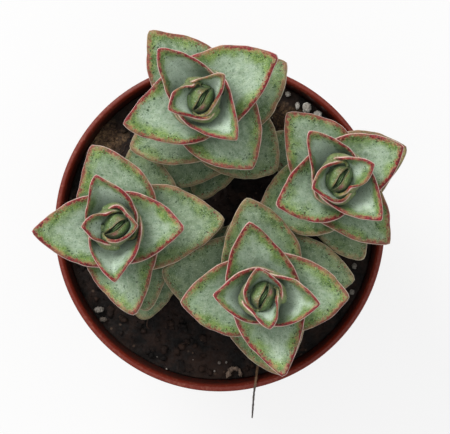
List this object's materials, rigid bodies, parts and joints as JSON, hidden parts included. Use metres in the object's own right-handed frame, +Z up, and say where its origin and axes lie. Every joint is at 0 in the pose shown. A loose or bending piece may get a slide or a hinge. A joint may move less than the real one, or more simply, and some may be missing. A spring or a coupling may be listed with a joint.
{
  "type": "potted succulent",
  "caption": "Small string of buttons succulent with upright leafy stems in a round brown-red plastic nursery pot.",
  "frame": {"origin": "on the pot's axis, in the plane of the pot's foot", "axes": "+Z up; -Y towards the viewer, the side where the dry stalk leans over the rim; +X to the right"},
  "size_m": [0.0864, 0.092, 0.1111],
  "materials": {
    "pot_plastic": "satin moulded",
    "soil": "loose crumbs",
    "leaf": "waxy bloom",
    "pumice": "rough",
    "husk": "dry",
    "dry_stalk": "dry"
  },
  "bodies": {
    "root": {"pot": "pot_plastic", "soil": "soil", "leafy_stem_back": "leaf", "leafy_stem_left": "leaf", "leafy_stem_right": "leaf", "leafy_stem_front": "leaf", "grain_back_large": "pumice", "grain_back_slim": "pumice", "grain_back_grey": "pumice", "grain_back_far": "pumice", "grain_left_large": "pumice", "grain_left_small": "pumice", "grain_right_inner": "pumice", "grain_right_outer": "pumice", "husk": "husk", "dry_stalk": "dry_stalk"}
  },
  "joints": []
}
